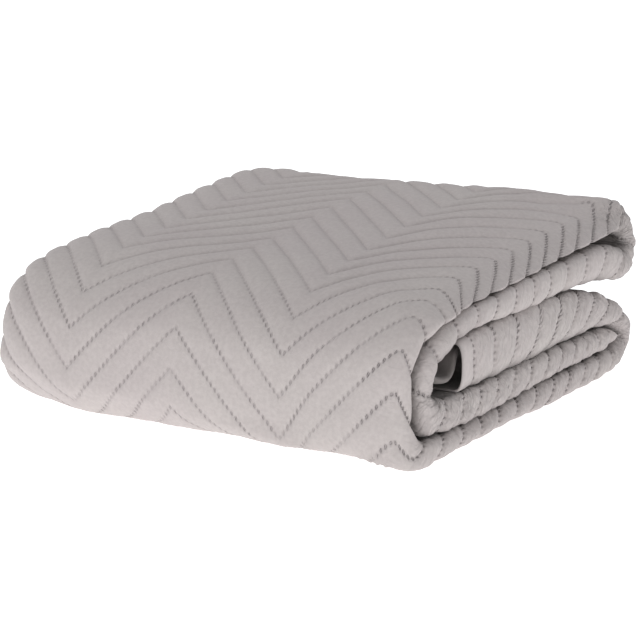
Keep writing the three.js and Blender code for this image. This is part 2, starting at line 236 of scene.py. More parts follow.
row = np.clip(np.floor(par).astype(int), 0, len(FOLD_PATH) - 2)
share = smoothstep(par - row)
values = {}
for i, name in enumerate(COLUMNS):
    if i > 1:
        flat = FOLD_PATH[row, i] * (1 - share) + FOLD_PATH[row + 1, i] * share
        values[name] = blur(flat, 5.0)
ty, tz = np.gradient(blur(py, 2.0), step), np.gradient(blur(pz, 2.0), step)
length = np.hypot(ty, tz)
ty, tz = ty / length, tz / length
ny, nz = -tz, ty

# the seams are laid out on the side that shows: the outer side of the big roll,
# the middle of the band elsewhere
outer = smoothstep(par, ROW_O_BOTTOM - 2, ROW_O_BOTTOM) * (1 - smoothstep(par, ROW_S_TOP - 3, ROW_S_TOP))
ey, ez = py + ny * values["half"] * outer, pz + nz * values["half"] * outer
sigma = np.concatenate([[0], np.cumsum(np.hypot(np.diff(ey), np.diff(ez)))])
TOTAL = sigma[-1]
front = (par > ROW_O_FRONT - 1) & (par < ROW_O_FRONT + 4)
SEAM_ZERO = float(np.interp(14.5, ez[front], sigma[front]))   # where seam 0 meets valley 1, low on the front


def sigma_of_row(r):
    return float(np.interp(r, par, sigma))


def stations(s):
    """The band's values at distances s along the laid-out surface."""
    s = np.clip(s, 0, TOTAL)
    out = {n: np.interp(s, sigma, v) for n, v in values.items()}
    out["par"] = np.interp(s, sigma, par)
    out["y"], out["z"] = np.interp(s, sigma, py), np.interp(s, sigma, pz)
    out["ny"], out["nz"] = np.interp(s, sigma, ny), np.interp(s, sigma, nz)
    run_s = np.interp(s, sigma, even)
    tip = np.clip((run[-1] - run_s) / TIP_ROUND, 0, 1)
    out["half"] = np.maximum(out["half"] * np.sqrt(1 - (1 - tip) ** 2), TIP_THICK / 2)
    return out


# ---------------------------------------------------------------------------
# The mesh: rows follow the zigzag seams, columns run round the band's section.
# ---------------------------------------------------------------------------
SEAM_ROWS = 14            # rows from seam to seam

END_SAMPLES = 41
theta = np.linspace(0, math.pi / 2, END_SAMPLES)      # 0 at the tip


def end_shape(st, end, side):
    """Tip position, rounded reach, power and tip offset of one end of the section, on one side."""
    tip_x = LENGTH_X / 2 - (st["right"] if end > 0 else st["left"])
    if end > 0:
        turned = smoothstep(st["par"], 46.5, 48.5) * (1 - smoothstep(st["par"], 52.5, 54))
        reach = st["soft"] if side > 0 else np.minimum(st["soft"], 20.0) + 10 * turned
        power = st["power"] if side > 0 else np.maximum(st["power"], 2.0)
        lean = st["lean"]
    else:
        reach = st["round"] if side > 0 else np.clip(st["round"], 5.0, 24.0)
        lean = 0.3 * np.clip((st["round"] - 24) / 26, 0, 1)
        power = 2.4 - 0.4 * smoothstep(st["round"], 22, 30)
    return tip_x, reach, power, -lean * st["half"]


def end_curve(st, end, side, x_from):
    """x and offset of the section from x_from out to the tip of one end, on one side. Rows of samples."""
    tip_x, reach, power, tip_o = end_shape(st, end, side)
    xs, os_ = [], []
    straight = np.linspace(0, 1, 13)[:-1]
    for f in straight:
        xs.append(x_from + (tip_x - reach - x_from) * f)
        os_.append(side * st["half"])
    for a in theta[::-1]:
        inwards = reach * (1 - np.cos(a) ** (2 / power))
        full = np.sin(a) ** (2 / power)
        xs.append(tip_x - inwards)
        os_.append(tip_o + (side * st["half"] - tip_o) * full)
    x, o = np.array(xs), np.array(os_)
    # where the rounded reach starts further in than x_from, cut it there
    before = x <= x_from + 1e-6
    u = np.clip(1 - (tip_x - x_from) / reach, 0, 1)
    o_cut = tip_o + (side * st["half"] - tip_o) * np.maximum(1 - u ** power, 0) ** (1 / power)
    x = np.where(before, x_from, x)
    o = np.where(before, o_cut[None, :], o)
    return end * x, o


def along(x, o, f):
    """The point at share f of the way along each column's polyline."""
    d = np.hypot(np.diff(x, axis=0), np.diff(o, axis=0))
    cum = np.vstack([np.zeros(x.shape[1]), np.cumsum(d, axis=0)])
    want = f * cum[-1]
    px, po = np.empty(x.shape[1]), np.empty(x.shape[1])
    for k in range(x.shape[1]):
        px[k] = np.interp(want[k], cum[:, k], x[:, k])
        po[k] = np.interp(want[k], cum[:, k], o[:, k])
    return px, po, cum[-1]


def ridges_at(par_):
    w = smoothstep(par_, 24.5, 29)
    return [a * (1 - w) + b * w for a, b in zip(RIDGES_FRONT, RIDGES_TOP)]


def slope_after_peak(par_):
    """How steeply a seam runs down over the open end, as a share of its slope on the face."""
    knots = [0, 8, 10, 13, 18, 21, 25.5, 27.5, 35, 38, 42, 48, 54, 57, 61]
    share_ = [0.8, 0.8, 0.5, 0.6, 0.7, 1.15, 1.2, 1.95, 1.95, 0.6, 0.28, 0.28, 0.4, 0.6, 0.6]
    return np.interp(par_, knots, share_)


# columns: (kind, share); the tips are counted once
N_LEG, N_LEFT, N_RIGHT, N_RIGHT_IN, N_MIDDLE, N_LEFT_IN = 24, 18, 20, 16, 8, 10
INNER_SPAN = 52.0
columns = []
for k in range(3 * N_LEG):
    columns.append(("face", k / N_LEG))                 # valley 1 to peak 2, three legs
for k in range(N_RIGHT):
    columns.append(("right", k / N_RIGHT))              # peak 2 to the right tip
for k in range(N_RIGHT_IN):
    columns.append(("right_in", k / N_RIGHT_IN))        # right tip, inwards on the inner side
for k in range(N_MIDDLE):
    columns.append(("middle", k / N_MIDDLE))
for k in range(N_LEFT_IN):
    columns.append(("left_in", k / N_LEFT_IN))          # out to the left tip on the inner side
for k in range(N_LEFT):
    columns.append(("left", k / N_LEFT))                # left tip back to valley 1
COLS = len(columns)

# rows: laid-out positions in seam units
first = -SEAM_ZERO - RISE / 2
v_low, v_high = first / PITCH, (TOTAL - SEAM_ZERO - RISE / 2) / PITCH
row_v = []
k = math.floor(v_low)
while k < v_high:
    n = SEAM_ROWS
    for i in range(n):
        v = k + i / n
        if v_low + 0.5 / n < v < v_high - 0.5 / n:
            row_v.append(v)
    k += 1
row_v = np.array([v_low] + row_v + [v_high])
ROWS = len(row_v)
row_s = SEAM_ZERO + RISE / 2 + row_v * PITCH
TAPER = 230.0
row_rise = RISE * smoothstep(np.minimum(row_s, TOTAL - row_s) / TAPER)
row_par = np.interp(row_s, sigma, par)
row_slope = slope_after_peak(row_par)

rng = np.random.default_rng(SEED)


def noise2(a, b, scale_a, scale_b, offset):
    return np.array([noise.noise(Vector((x / scale_a, y / scale_b, offset))) for x, y in zip(a, b)])


P = np.zeros((ROWS, COLS, 3))
U = np.zeros((ROWS, COLS))          # length along the seam
CROSS = np.zeros((ROWS, COLS))      # real distance between seams, across them
EDGE = np.zeros((ROWS, COLS))       # distance round the section from the nearer tip, + on the outer side
KIND = np.array([["face", "right", "right_in", "middle", "left_in", "left"].index(c[0]) for c in columns])
S = np.zeros((ROWS, COLS))

# first pass: lengths round the section at the undisplaced rows, for the seams' run over the ends
st0 = stations(row_s)
ridge0 = ridges_at(row_par)
xr, orr = end_curve(st0, 1, 1, ridge0[3])
len_right = along(xr, orr, 1.0)[2]
xr, orr = end_curve(st0, 1, -1, LENGTH_X / 2 - st0["right"] - INNER_SPAN)
len_right_in = along(xr, orr, 1.0)[2]
xl, ol = end_curve(st0, -1, 1, -ridge0[0])
len_left = along(xl, ol, 1.0)[2]
xl, ol = end_curve(st0, -1, -1, LENGTH_X / 2 - st0["left"] - INNER_SPAN)
len_left_in = along(xl, ol, 1.0)[2]

ROUND_PEAK = 5.0           # the corners over the open end are rounded by this much


PEAK_LIFT = 0.05 * smoothstep(row_par, 18, 20) * (1 - smoothstep(row_par, 23.5, 26))


def over_peak_2(beyond):
    """The seam's height at a distance before (-) or beyond (+) peak 2, as a share of the rise."""
    m = row_slope
    bend = (m + 1) / 2 * (np.hypot(beyond, ROUND_PEAK) - 0.8 * ROUND_PEAK) + (m - 1) / 2 * beyond
    return 0.5 - bend / LEG + PEAK_LIFT


off = np.zeros((ROWS, COLS))
w_pos = np.zeros((ROWS, COLS))
for j, (kind, f) in enumerate(columns):
    if kind == "face":
        leg = int(f)
        g = f - leg
        tri = (-0.5 + g) if leg == 0 else (0.5 - g)
        w = ridge0[0] + f * LEG
        if leg == 2:
            tri = over_peak_2(-(1 - g) * LEG) * smoothstep(g, 0, 0.3) + (-0.5 + g) * (1 - smoothstep(g, 0, 0.3))
    elif kind == "right":
        tri = over_peak_2(f * len_right)
        w = ridge0[0] + 3 * LEG + f * len_right
    elif kind == "right_in":
        tri = over_peak_2(len_right + f * len_right_in)
        w = ridge0[0] + 3 * LEG + len_right + f * len_right_in
    elif kind == "middle":
        a = over_peak_2(len_right + len_right_in)
        b = -0.5 + (len_left + len_left_in) / LEG
        tri = a + (b - a) * f
        w = ridge0[0] + 3 * LEG + len_right + len_right_in + f * 350
    elif kind == "left_in":
        tri = -0.5 + (len_left + len_left_in * (1 - f)) / LEG
        w = ridge0[0] + 3 * LEG + len_right + len_right_in + 350 + f * len_left_in
    else:
        tri = -0.5 + len_left * (1 - f) / LEG
        w = ridge0[0] - len_left * (1 - f)
    off[:, j] = row_rise * tri
    w_pos[:, j] = w

for j in range(COLS):
    j2 = (j + 1) % COLS
    if j2 == 0:
        dw = w_pos[:, 0] - w_pos[:, j]
    else:
        dw = w_pos[:, j2] - w_pos[:, j]
    # the left tip's columns count from the other side
    dw = np.abs(dw) if columns[j][0] != "left_in" or columns[j2][0] == "left_in" else len_left_in / N_LEFT_IN
    do = off[:, j2] - off[:, j]
    seg = np.hypot(dw, do)
    CROSS[:, j] = PITCH * dw / np.maximum(seg, 1e-6)
    if j2:
        U[:, j2] = U[:, j] + seg
    else:
        whole = U[:, j] + seg
hidden_from = 3 * N_LEG + N_RIGHT + N_RIGHT_IN + N_MIDDLE // 2
U[:, hidden_from:] -= whole[:, None]      # so that the jump in it lies on the hidden inner side


def section(st, kind, f):
    """x, offset and distance to the tip (+ on the outer side) of one column, for rows of values."""
    if kind == "face":
        leg = min(int(f), 2)
        ridges = ridges_at(st["par"])
        x = ridges[leg] + (ridges[leg + 1] - ridges[leg]) * (f - leg)
        tip_r, reach_r, power_r, tip_o_r = end_shape(st, 1, 1)
        tip_l, reach_l, power_l, tip_o_l = end_shape(st, -1, 1)
        u = np.clip(1 - (tip_r - x) / reach_r, 0, 1)
        full = np.maximum(1 - u ** power_r, 0) ** (1 / power_r)
        o = tip_o_r + (st["half"] - tip_o_r) * full
        u = np.clip(1 - (tip_l + x) / reach_l, 0, 1)
        full = np.maximum(1 - u ** power_l, 0) ** (1 / power_l)
        o += tip_o_l + (st["half"] - tip_o_l) * full - st["half"]
        return x, o, np.minimum(tip_r - x, tip_l + x)
    if kind in ("right", "left"):
        end = 1 if kind == "right" else -1
        ridges = ridges_at(st["par"])
        cx, co = end_curve(st, end, 1, ridges[3] if end > 0 else -ridges[0])
        g = f if end > 0 else 1 - f
        x, o, total_ = along(cx, co, g)
        return x, o, total_ * (1 - g)
    if kind in ("right_in", "left_in"):
        end = 1 if kind == "right_in" else -1
        tip = LENGTH_X / 2 - st["right" if end > 0 else "left"]
        cx, co = end_curve(st, end, -1, tip - INNER_SPAN)
        g = 1 - f if end > 0 else f
        x, o, total_ = along(cx, co, g)
        return x, o, -total_ * (1 - g)
    hi = LENGTH_X / 2 - st["right"] - INNER_SPAN
    lo = -(LENGTH_X / 2 - st["left"] - INNER_SPAN)
    x = hi + (lo - hi) * f
    return x, -st["half"], -np.minimum(hi - x, x - lo) - INNER_SPAN


for j, (kind, f) in enumerate(columns):
    s = row_s + off[:, j]
    wob = noise2(row_s, w_pos[:, j], 55, 70, 3.7) * 1.3 * smoothstep(np.minimum(row_s, TOTAL - row_s) / 60)
    s = np.clip(s + wob, 0, TOTAL)
    s[0], s[-1] = 0.0, TOTAL
    S[:, j] = s
    st = stations(s)
    x, o, EDGE[:, j] = section(st, kind, f)
    P[:, j, 0] = x
    P[:, j, 1] = st["y"] + st["ny"] * o
    P[:, j, 2] = st["z"] + st["nz"] * o

# the rings of the inner edge, in front of the first row
EXTRA = len(INNER_EDGE)
inner = {n: INNER_EDGE[:, i] for i, n in enumerate(COLUMNS)}
inner["par"] = np.zeros(EXTRA)
path = INNER_EDGE[:, :2]
toward = np.gradient(path, axis=0)
rim_from = 16                         # from here on the rings only widen: they stay upright
toward[rim_from:] = (1.0, 0.0)
toward /= np.linalg.norm(toward, axis=1, keepdims=True)
first_rows = np.zeros((EXTRA, COLS, 3))
first_edge = np.zeros((EXTRA, COLS))
for j, (kind, f) in enumerate(columns):
    x, o, first_edge[:, j] = section(inner, kind, f)
    first_rows[:, j, 0] = x
    first_rows[:, j, 1] = inner["y"] - toward[:, 1] * o
    first_rows[:, j, 2] = inner["z"] + toward[:, 0] * o
P = np.concatenate([first_rows, P])
EDGE = np.concatenate([first_edge, EDGE])
S = np.concatenate([np.zeros((EXTRA, COLS)), S])
U = np.concatenate([np.repeat(U[:1], EXTRA, axis=0), U])
CROSS = np.concatenate([np.full((EXTRA, COLS), 40.0), CROSS])
row_v = np.concatenate([np.full(EXTRA, row_v[0]), row_v])
ROWS += EXTRA

PAR = np.interp(S.ravel(), sigma, par).reshape(S.shape)
for bx, by, bz, rx, ry, rz, forward, up, row_from, row_to in BULGES:
    r = ((P[:, :, 0] - bx) / rx) ** 2 + ((P[:, :, 1] - by) / ry) ** 2 + ((P[:, :, 2] - bz) / rz) ** 2
    w = np.clip(1 - r, 0, 1) ** 2 * smoothstep(PAR, row_from - 1, row_from) * (1 - smoothstep(PAR, row_to, row_to + 1))
    P[:, :, 1] -= forward * w
    P[:, :, 2] += up * w
P[:, :, 0] += SHIFT_X
P[:, :, 1] += SHIFT_Y - DEPTH_Y / 2

# ---- padding, seams, slack and creases, along the smooth surface's normals --
V = np.repeat(row_v[:, None], COLS, axis=1)


def grid_normals(p):
    du = np.roll(p, -1, axis=1) - np.roll(p, 1, axis=1)
    dv = np.empty_like(p)
    dv[1:-1] = p[2:] - p[:-2]
    dv[0], dv[-1] = p[1] - p[0], p[-1] - p[-2]
    n_ = np.cross(du, dv)
    size = np.linalg.norm(n_, axis=2, keepdims=True)
    return n_ / np.maximum(size, 1e-9)


def blur_grid(a, times=1):
    for _ in range(times):
        a = (np.roll(a, 1, axis=1) + 2 * a + np.roll(a, -1, axis=1)) / 4
        b = a.copy()
        b[1:-1] = (a[:-2] + 2 * a[1:-1] + a[2:]) / 4
        a = b
    return a


N = grid_normals(P)
for _ in range(2):
    N = blur_grid(N)
N /= np.maximum(np.linalg.norm(N, axis=2, keepdims=True), 1e-9)

big_roll = smoothstep(PAR, 18, 20.5) * (1 - smoothstep(PAR, 40, 42))
top_run = smoothstep(PAR, 24, 28) * (1 - smoothstep(PAR, 40, 42))
underside = smoothstep(PAR, 11.5, 13) * (1 - smoothstep(PAR, 18, 20)) * (EDGE > 0)

near_tip = 1 - smoothstep(np.abs(EDGE), 30, 70)
left_end = near_tip * (P[:, :, 0] < 0)
right_end = near_tip * (P[:, :, 0] > 0)
height = np.where(EDGE > 0, 0.75 + 1.5 * top_run * smoothstep(EDGE, 30, 80) + 0.6 * top_run, 0.0)
height = height * big_roll + (1 - big_roll) * 0.3
height = np.maximum(height, np.maximum(left_end * 2.6, right_end * (1.9 - 0.5 * big_roll)))
height = np.where(underside > 0.5, np.maximum(0.8, near_tip * 1.8), height)
tip_fade = smoothstep(np.minimum(S, TOTAL - S), 4, 26)
height = height * (0.35 + 0.65 * tip_fade)
height[:EXTRA] = 0.0

t = V - np.floor(V)
profile = 1 - np.abs(1 - 2 * t) ** 2.5
share_in = np.where(underside > 0.5, 1.0, 0.55)
D = height * (profile - share_in)

flatP = P.reshape(-1, 3)


def noise3(scale, offset, octaves=1):
    v = np.empty(len(flatP))
    for i, (x, y, z) in enumerate(flatP):
        p_ = Vector((x / scale + offset, y / scale - offset, z / scale + 2 * offset))
        v[i] = noise.fractal(p_, 1.0, 2.0, octaves) if octaves > 1 else noise.noise(p_)
    return v.reshape(P.shape[:2])


LATTICE = rng.permutation(256)


def gnoise(x, y):
    """Smooth gradient noise over a plane, about -0.7 to 0.7."""
    xi, yi = np.floor(x).astype(int), np.floor(y).astype(int)
    xf, yf = x - xi, y - yi

    def corner(a, b):
        h = LATTICE[(LATTICE[(xi + a) & 255] + yi + b) & 255] * (2 * math.pi / 256)
        return np.cos(h) * (xf - a) + np.sin(h) * (yf - b)

    u, v = xf ** 3 * (xf * (xf * 6 - 15) + 10), yf ** 3 * (yf * (yf * 6 - 15) + 10)
    top_ = corner(0, 0) * (1 - u) + corner(1, 0) * u
    return top_ * (1 - v) + (corner(0, 1) * (1 - u) + corner(1, 1) * u) * v


def crease(n_, width=0.22):
    """Folds that meet in narrow valleys, from noise: 0 in the valleys, 1 on the folds."""
    a = np.abs(n_) / width
    return np.minimum(a / (0.6 + a) * 1.35, 1.2)


# creases that run across the band's open end, gathered by the seams
knots_ = [0, 4, 7, 9, 11, 13, 16, 18, 20, 21.5, 26, 34, 35.5, 37, 40, 42, 45, 48, 51, 53, 55, 58, 61]
amount = np.interp(PAR, knots_, [0.7, 0.8, 0.9, 1.2, 1.3, 1.0, 0.9, 0.8, 0.4, 0.15, 0.15, 0.6, 1.2, 1.5, 1.1, 0.6,
                                 0.55, 0.5, 0.6, 1.4, 1.4, 1.1, 1.0])
slant = np.interp(PAR, knots_, [0.5, 0.5, 0.3, 0, 0, -0.5, -0.6, -0.5, 0, 0, 0, 0, 0, 0, 0, 0.1, 0.1, 0.1, 0.3, 0.7, 0.8, 0.8, 0.6])
at_end = (1 - smoothstep(np.abs(EDGE), 16, 46)) * (P[:, :, 0] > 0)
at_other = (1 - smoothstep(np.abs(EDGE), 12, 40)) * (P[:, :, 0] < 0)
run_ = S + slant * EDGE
fold_a = crease(gnoise(run_ / 15 + 3.1, EDGE / 34 + 1.7))
fold_b = crease(gnoise(run_ / 7 + 9.7, EDGE / 22 + 5.2))
gathered = 0.45 + 0.55 * (1 - profile)
D += (at_end + 0.6 * at_other) * amount * ((fold_a - 0.8) * 1.7 + (fold_b - 0.8) * 1.2 * gathered) * tip_fade

on_flap = (1 - smoothstep(PAR, 8, 10)) * (1 - smoothstep(np.abs(EDGE), 40, 62)) * (P[:, :, 0] > 0)
fold_c = crease(gnoise(V * 2.7 + 0.3, U / 52 + 2.2), 0.2)
D += on_flap * tip_fade * (fold_c - 0.8) * 1.3

low = noise3(85, 1.3)
mid = noise3(34, 5.1)
fine = noise3(13, 9.4)
shown = np.maximum(big_roll * (EDGE > 0), near_tip) * (1 - 0.6 * underside)
D += shown * (1.5 * low + 0.7 * mid * profile + 0.35 * fine * (0.3 + profile))

# the rim is drawn in a little where a seam crosses it
drawn = (1 - profile) ** 2 * (1 - smoothstep(np.abs(EDGE), 0, 22)) * np.where(P[:, :, 0] > 0, 2.6, 2.0)
drawn[:EXTRA] = 0
P[:, :, 0] -= np.sign(P[:, :, 0]) * drawn
D[:EXTRA] *= 0.5
P = P + N * D[:, :, None]
P[:, :, 2] = np.maximum(P[:, :, 2], 0.0)
P[:, :, 2] = np.where(P[:, :, 2] < 0.35, 0.0, P[:, :, 2])


# ---------------------------------------------------------------------------
# Blender objects
# ---------------------------------------------------------------------------
def make_mesh(name, verts, faces, attributes=None, smooth=True):
    me = bpy.data.meshes.new(name)
    me.from_pydata([tuple(v) for v in verts], [], faces)
    me.validate()
    me.update()
    if smooth:
        me.polygons.foreach_set("use_smooth", [True] * len(me.polygons))
    for key, data in (attributes or {}).items():
        at = me.attributes.new(key, "FLOAT_VECTOR", "POINT")
        at.data.foreach_set("vector", np.asarray(data, np.float32).ravel())
    ob = bpy.data.objects.new(name, me)
    bpy.context.scene.collection.objects.link(ob)
    return ob


# where the faces lie inside the pack or on the floor, fewer columns are kept
row_table = np.interp(SEAM_ZERO + RISE / 2 + row_v * PITCH, sigma, par)
every = np.where((row_table > 19) & (row_table < 41.5), 1, np.where((row_table > 12) & (row_table < 41.5), 2, 4))


def kept(row_i):
    step_ = every[row_i]
    return [j for j, (kind, f) in enumerate(columns)
            if kind != "face" or j % step_ == 0]


faces = []
for i in range(ROWS - 1):
    low_row, high_row = kept(i), kept(i + 1)
    coarse = low_row if len(low_row) < len(high_row) else high_row
    for n_, j in enumerate(coarse):
        j2 = coarse[(n_ + 1) % len(coarse)]
        span = range(j, (j2 if j2 > j else COLS) + 1)
        below = [i * COLS + c % COLS for c in span if c % COLS in (j, j2) or c in low_row]
        above = [(i + 1) * COLS + c % COLS for c in span if c % COLS in (j, j2) or c in high_row]
        faces.append(tuple(below + above[::-1]))


def cap(row_i, flip):
    """Joins the outer side of a strip's end to its inner side."""
    here = set(kept(row_i))
    right_tip = 3 * N_LEG + N_RIGHT
    left_tip = right_tip + N_RIGHT_IN + N_MIDDLE + N_LEFT_IN
    outer_side = [row_i * COLS + j % COLS for j in range(left_tip, left_tip + N_LEFT + 3 * N_LEG + N_RIGHT + 1) if j % COLS in here]
    inner_side = [row_i * COLS + j for j in range(left_tip, right_tip - 1, -1) if j in here]
    made = []
    i = k = 0
    xo = [P.reshape(-1, 3)[v][0] for v in outer_side]
    xi = [P.reshape(-1, 3)[v][0] for v in inner_side]
    while i < len(outer_side) - 1 or k < len(inner_side) - 1:
        if k == len(inner_side) - 1 or (i < len(outer_side) - 1 and xo[i + 1] <= xi[k + 1]):
            f = (outer_side[i], outer_side[i + 1], inner_side[k])
            i += 1
        else:
            f = (outer_side[i], inner_side[k + 1], inner_side[k])
            k += 1
        if len(set(f)) == 3:
            made.append(f if not flip else f[::-1])
    return made


faces += cap(0, True) + cap(ROWS - 1, False)
stitch = np.stack([U / STITCH, V, CROSS], axis=2)
seam_here = np.ones((ROWS, COLS))
seam_here[:EXTRA + 1] = 0.0
seam_here *= smoothstep(TOTAL - S, 6, 16)
on_top = smoothstep(PAR, 25.3, 27.8) * (1 - smoothstep(PAR, 36, 38)) * (EDGE > 0)
# painted shade: the inner edge's rings, curled in the flap's hollow, are darkened in colour where shade falls
hollow_shade = np.zeros((ROWS, COLS))
hollow_shade[:EXTRA - 3] = 1.0
hollow_shade[EXTRA - 3:EXTRA] = np.array([0.7, 0.35, 0.1])[:, None]
# painted shade: deep between the layers the cloth's colour is darkened where shade falls
between = smoothstep(-EDGE, 9, 22) * smoothstep(PAR, 11, 13) * (1 - smoothstep(PAR, 40, 42))
between = np.maximum(between, smoothstep(-EDGE, 2, 11) * smoothstep(PAR, 18.5, 20) * (1 - smoothstep(PAR, 28, 31)))
between = np.maximum(between, smoothstep(np.abs(EDGE), 12, 24) * smoothstep(PAR, 40, 42))
between = np.maximum(between, 0.8 * smoothstep(EDGE, -2, 9) * smoothstep(PAR, 46.5, 48.5) * (1 - smoothstep(PAR, 52.5, 54)))
between = np.maximum(between, smoothstep(-EDGE, 14, 27) * (1 - smoothstep(PAR, 9, 12)))
hollow_shade = np.maximum(hollow_shade, np.where(np.arange(ROWS)[:, None] < EXTRA, 0, 0.72 * between))
at_ends = 1 - smoothstep(np.abs(EDGE), 30, 60)
# per point: seam dot strength, the painted shade's amount and the top's mask
seam_and_shade = np.stack([seam_here * (1 + 0.5 * at_ends * (P[:, :, 0] > 0)) * (1 - 0.85 * on_top * smoothstep(EDGE, 32, 60)), hollow_shade, on_top], axis=2)
band = np.stack([S, EDGE, (at_end + 0.5 * at_other) * amount * tip_fade], axis=2)
used = np.unique([v for f in faces for v in f])
new_index = np.full(ROWS * COLS, -1)
new_index[used] = np.arange(len(used))
faces = [tuple(int(new_index[v]) for v in f) for f in faces]
cloth = make_mesh("coverlet_cloth", P.reshape(-1, 3)[used] * MM, faces,
                  {"stitch": stitch.reshape(-1, 3)[used], "seam_and_shade": seam_and_shade.reshape(-1, 3)[used],
                   "band": band.reshape(-1, 3)[used]})


# ---- the cloth's material ----------------------------------------------------
class Nodes:
    def __init__(self, name):
        self.material = bpy.data.materials.new(name)
        self.material.use_nodes = True
        self.tree = self.material.node_tree
        self.tree.nodes.clear()

    def add(self, kind, **values_):
        node = self.tree.nodes.new(kind)
        for key, value in values_.items():
            if hasattr(node, key):
                setattr(node, key, value)
            else:
                node.inputs[key.replace("_", " ")].default_value = value
        return node

    def link(self, a, b):
        self.tree.links.new(a, b)

    def math(self, op, a, b=None, c=None, clamp=False):
        node = self.tree.nodes.new("ShaderNodeMath")
        node.operation = op
        node.use_clamp = clamp
        for slot_, value in zip(node.inputs, (a, b, c)):
            if value is None:
                continue
            if isinstance(value, (int, float)):
                slot_.default_value = value
            else:
                self.link(value, slot_)
        return node.outputs[0]

    def ramp(self, value, lo, hi, to_lo=0.0, to_hi=1.0):
        node = self.tree.nodes.new("ShaderNodeMapRange")
        node.interpolation_type = "SMOOTHSTEP"
        self.link(value, node.inputs["Value"])
        node.inputs["From Min"].default_value = lo
        node.inputs["From Max"].default_value = hi
        node.inputs["To Min"].default_value = to_lo
        node.inputs["To Max"].default_value = to_hi
        return node.outputs["Result"]

    def noise(self, vector, scale, detail=2.0, rough=0.5):
        node = self.tree.nodes.new("ShaderNodeTexNoise")
        node.inputs["Scale"].default_value = scale
        node.inputs["Detail"].default_value = detail
        node.inputs["Roughness"].default_value = rough
        self.link(vector, node.inputs["Vector"])
        return node.outputs["Fac"]

    def mix(self, factor, a, b):
        node = self.tree.nodes.new("ShaderNodeMix")
        node.data_type = "RGBA"
        for slot_, value in ((node.inputs[0], factor), (node.inputs[6], a), (node.inputs[7], b)):
            if isinstance(value, (int, float)):
                slot_.default_value = value
            elif isinstance(value, tuple):
                slot_.default_value = (*value, 1.0)
            else:
                self.link(value, slot_)
        return node.outputs[2]

    def bump(self, height_, distance, strength=1.0, normal=None):
        node = self.tree.nodes.new("ShaderNodeBump")
        node.inputs["Strength"].default_value = strength
        node.inputs["Distance"].default_value = distance
        self.link(height_, node.inputs["Height"])
        if normal is not None:
            self.link(normal, node.inputs["Normal"])
        return node.outputs["Normal"]


